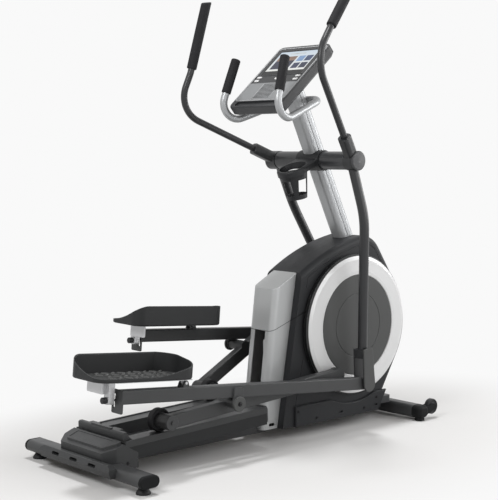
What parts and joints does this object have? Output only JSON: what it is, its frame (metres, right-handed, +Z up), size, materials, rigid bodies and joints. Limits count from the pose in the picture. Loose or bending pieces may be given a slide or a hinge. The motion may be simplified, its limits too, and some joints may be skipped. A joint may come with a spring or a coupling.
{
  "type": "elliptical trainer",
  "caption": "Front-drive elliptical trainer: leaning mast with console, swinging arm levers, foot trays on roller arms along an adjustable ramp, enclosed crank housing with round covers.",
  "frame": {"origin": "on the floor, in the middle of the machine's overall length and width", "axes": "+X forward, the way the user faces; +Y to the user's left; +Z up"},
  "size_m": [1.732, 0.704, 1.7947],
  "materials": {
    "dark_paint": "satin powder coat",
    "silver_paint": "satin metallic powder coat",
    "black_plastic": "fine-grained moulding",
    "dark_plastic": "satin moulding",
    "silver_plastic": "satin metallic moulding",
    "ring_plastic": "pale silver, soft gloss",
    "key_plastic": "white, soft gloss",
    "screen_plastic": "lit display window",
    "foam": "closed-cell foam sleeve",
    "rubber": "moulded rubber",
    "steel": "bright steel",
    "iron": "machined casting"
  },
  "bodies": {
    "frame": {"base_frame": "dark_paint", "rear_stabilizer": "dark_paint", "lift_handle": "dark_plastic", "front_stabilizer": "dark_paint", "stabilizer_end_caps": "black_plastic", "mast": "silver_paint", "pivot_axle": "dark_paint", "bottle_holder": "black_plastic", "console_shell": "dark_plastic", "console_face": "silver_plastic", "screen": "screen_plastic", "pulse_handlebar": "silver_paint", "pulse_grips": "rubber", "shroud_right": "dark_plastic", "shroud_left": "dark_plastic", "rear_trim_lower": "silver_plastic", "rear_trim_upper": "silver_plastic", "side_covers": "dark_plastic", "drive_belt": "rubber", "lift_motor": "steel", "ramp_rear_cover": "dark_plastic"},
    "crank": {"crank_shaft": "steel", "crank_discs": "dark_plastic", "crank_rings": "ring_plastic", "drive_pulley": "black_plastic"},
    "flywheel": {"flywheel": "iron"},
    "ramp": {"ramp_frame": "dark_paint", "ramp_side_covers": "dark_plastic", "ramp_end_stop": "dark_plastic"},
    "carriage_right": {"roller_guard_right": "black_plastic"},
    "roller_right": {"roller_wheel_right": "rubber"},
    "axle_right": {"roller_axle_right": "dark_paint"},
    "roller_arm_right": {"roller_arm_right": "dark_paint"},
    "pedal_arm_right": {"pedal_arm_right": "dark_paint"},
    "pedal_right": {"pedal_tray_right": "black_plastic", "pedal_bracket_right": "silver_paint"},
    "pull_pin_right": {"pull_pin_right": "black_plastic"},
    "swing_arm_right": {"swing_leg_right": "dark_paint", "swing_handle_right": "dark_paint", "swing_grip_right": "foam"},
    "rear_foot_right": {"rear_foot_right": "rubber"},
    "transport_wheel_right": {"transport_wheel_right": "black_plastic"},
    "carriage_left": {"roller_guard_left": "black_plastic"},
    "roller_left": {"roller_wheel_left": "rubber"},
    "axle_left": {"roller_axle_left": "dark_paint"},
    "roller_arm_left": {"roller_arm_left": "dark_paint"},
    "pedal_arm_left": {"pedal_arm_left": "dark_paint"},
    "pedal_left": {"pedal_tray_left": "black_plastic", "pedal_bracket_left": "silver_paint"},
    "pull_pin_left": {"pull_pin_left": "black_plastic"},
    "swing_arm_left": {"swing_leg_left": "dark_paint", "swing_handle_left": "dark_paint", "swing_grip_left": "foam"},
    "rear_foot_left": {"rear_foot_left": "rubber"},
    "transport_wheel_left": {"transport_wheel_left": "black_plastic"},
    "console_key_1": {"console_key_1": "key_plastic"},
    "console_key_2": {"console_key_2": "key_plastic"},
    "console_key_3": {"console_key_3": "key_plastic"},
    "console_key_4": {"console_key_4": "key_plastic"},
    "console_key_5": {"console_key_5": "key_plastic"}
  },
  "joints": [
    {"name": "crank_turn", "type": "hinge", "parent": "frame", "child": "crank", "pos_m": [0.484, 0, 0.42], "axis": [0, -1, 0], "range_deg": [-15, 25]},
    {"name": "flywheel_spin", "type": "hinge", "parent": "frame", "child": "flywheel", "pos_m": [0.246, 0, 0.33], "axis": [0, -1, 0], "range_deg": [-180, 180]},
    {"name": "ramp_incline", "type": "hinge", "parent": "frame", "child": "ramp", "pos_m": [-0.66795, 0, 0.1], "axis": [0, -1, 0], "range_deg": [0, 8]},
    {"name": "roller_travel_right", "type": "slide", "parent": "ramp", "child": "carriage_right", "axis": [0.9994, 0, 0.0349], "range_m": [-0.0496, 0.0827]},
    {"name": "roller_spin_right", "type": "hinge", "parent": "carriage_right", "child": "roller_right", "pos_m": [-0.52385, 0, 0.18073], "axis": [0, -1, 0], "range_deg": [-112.82, 67.69]},
    {"name": "axle_lift_right", "type": "hinge", "parent": "carriage_right", "child": "axle_right", "pos_m": [-0.52385, 0, 0.18073], "axis": [0, -1, 0], "range_deg": [-9.85, 0]},
    {"name": "roller_arm_swing_right", "type": "hinge", "parent": "axle_right", "child": "roller_arm_right", "pos_m": [-0.52385, 0, 0.18073], "axis": [0, -1, 0], "range_deg": [-4.34, 2.6]},
    {"name": "pedal_arm_swing_right", "type": "hinge", "parent": "roller_arm_right", "child": "pedal_arm_right", "pos_m": [-0.26182, 0, 0.21818], "axis": [0, -1, 0], "range_deg": [-3.91, 6.52]},
    {"name": "pedal_tilt_right", "type": "hinge", "parent": "pedal_arm_right", "child": "pedal_right", "pos_m": [-0.49126, -0.214, 0.32255], "axis": [0, -1, 0], "range_deg": [-4, 4]},
    {"name": "pull_pin_right", "type": "slide", "parent": "pedal_right", "child": "pull_pin_right", "axis": [-0.9958, 0, 0.0912], "range_m": [0, 0.014], "stiffness_N_per_m": 400, "springref_m": -0.01},
    {"name": "swing_arm_right", "type": "hinge", "parent": "frame", "child": "swing_arm_right", "pos_m": [0.356, -0.214, 1.083], "axis": [0, -1, 0], "range_deg": [-3.33, 5.56]},
    {"name": "levelling_right", "type": "hinge", "parent": "frame", "child": "rear_foot_right", "pos_m": [-0.74395, -0.313, 0], "axis": [0, 0, 1], "continuous": true},
    {"name": "wheel_spin_right", "type": "hinge", "parent": "frame", "child": "transport_wheel_right", "pos_m": [0.834, -0.226, 0.05], "axis": [0, -1, 0], "continuous": true},
    {"name": "roller_travel_left", "type": "slide", "parent": "ramp", "child": "carriage_left", "axis": [0.9994, 0, 0.0349], "range_m": [-0.05, 0.03]},
    {"name": "roller_spin_left", "type": "hinge", "parent": "carriage_left", "child": "roller_left", "pos_m": [-0.09949, 0, 0.19555], "axis": [0, -1, 0], "range_deg": [-40.89, 68.15]},
    {"name": "axle_lift_left", "type": "hinge", "parent": "carriage_left", "child": "axle_left", "pos_m": [-0.09949, 0, 0.19555], "axis": [0, -1, 0], "range_deg": [-13.84, 0]},
    {"name": "roller_arm_swing_left", "type": "hinge", "parent": "axle_left", "child": "roller_arm_left", "pos_m": [-0.09949, 0, 0.19555], "axis": [0, -1, 0], "range_deg": [-2.99, 4.99]},
    {"name": "pedal_arm_swing_left", "type": "hinge", "parent": "roller_arm_left", "child": "pedal_arm_left", "pos_m": [0.12352, 0, 0.33811], "axis": [0, -1, 0], "range_deg": [-9.52, 5.71]},
    {"name": "pedal_tilt_left", "type": "hinge", "parent": "pedal_arm_left", "child": "pedal_left", "pos_m": [-0.10668, 0.214, 0.44079], "axis": [0, -1, 0], "range_deg": [-4, 4]},
    {"name": "pull_pin_left", "type": "slide", "parent": "pedal_left", "child": "pull_pin_left", "axis": [-0.9965, 0, 0.0839], "range_m": [0, 0.014], "stiffness_N_per_m": 400, "springref_m": -0.01},
    {"name": "swing_arm_left", "type": "hinge", "parent": "frame", "child": "swing_arm_left", "pos_m": [0.356, 0.214, 1.083], "axis": [0, -1, 0], "range_deg": [-4.84, 2.91]},
    {"name": "levelling_left", "type": "hinge", "parent": "frame", "child": "rear_foot_left", "pos_m": [-0.74395, 0.313, 0], "axis": [0, 0, 1], "continuous": true},
    {"name": "wheel_spin_left", "type": "hinge", "parent": "frame", "child": "transport_wheel_left", "pos_m": [0.834, 0.226, 0.05], "axis": [0, -1, 0], "continuous": true},
    {"name": "key_press_1", "type": "slide", "parent": "frame", "child": "console_key_1", "axis": [0.6561, 0, -0.7547], "range_m": [0, 0.0015], "stiffness_N_per_m": 300, "springref_m": -0.002},
    {"name": "key_press_2", "type": "slide", "parent": "frame", "child": "console_key_2", "axis": [0.6561, 0, -0.7547], "range_m": [0, 0.0015], "stiffness_N_per_m": 300, "springref_m": -0.002},
    {"name": "key_press_3", "type": "slide", "parent": "frame", "child": "console_key_3", "axis": [0.6561, 0, -0.7547], "range_m": [0, 0.0015], "stiffness_N_per_m": 300, "springref_m": -0.002},
    {"name": "key_press_4", "type": "slide", "parent": "frame", "child": "console_key_4", "axis": [0.6561, 0, -0.7547], "range_m": [0, 0.0015], "stiffness_N_per_m": 300, "springref_m": -0.002},
    {"name": "key_press_5", "type": "slide", "parent": "frame", "child": "console_key_5", "axis": [0.6561, 0, -0.7547], "range_m": [0, 0.0015], "stiffness_N_per_m": 300, "springref_m": -0.002}
  ],
  "couplings": [
    {"joint": "flywheel_spin", "follows": "crank_turn", "ratio": 6.2542},
    {"joint": "roller_travel_right", "follows": "crank_turn", "m_per_rad": 0.18401},
    {"joint": "roller_spin_right", "follows": "crank_turn", "ratio": -4.3813},
    {"joint": "axle_lift_right", "follows": "ramp_incline", "ratio": -1.1948},
    {"joint": "roller_arm_swing_right", "follows": "crank_turn", "ratio": -0.16851},
    {"joint": "pedal_arm_swing_right", "follows": "crank_turn", "ratio": 0.2532},
    {"joint": "swing_arm_right", "follows": "crank_turn", "ratio": 0.21584},
    {"joint": "roller_travel_left", "follows": "crank_turn", "m_per_rad": -0.11116},
    {"joint": "roller_spin_left", "follows": "crank_turn", "ratio": 2.6465},
    {"joint": "axle_lift_left", "follows": "ramp_incline", "ratio": -1.6798},
    {"joint": "roller_arm_swing_left", "follows": "crank_turn", "ratio": 0.19374},
    {"joint": "pedal_arm_swing_left", "follows": "crank_turn", "ratio": -0.36982},
    {"joint": "swing_arm_left", "follows": "crank_turn", "ratio": -0.18805}
  ]
}
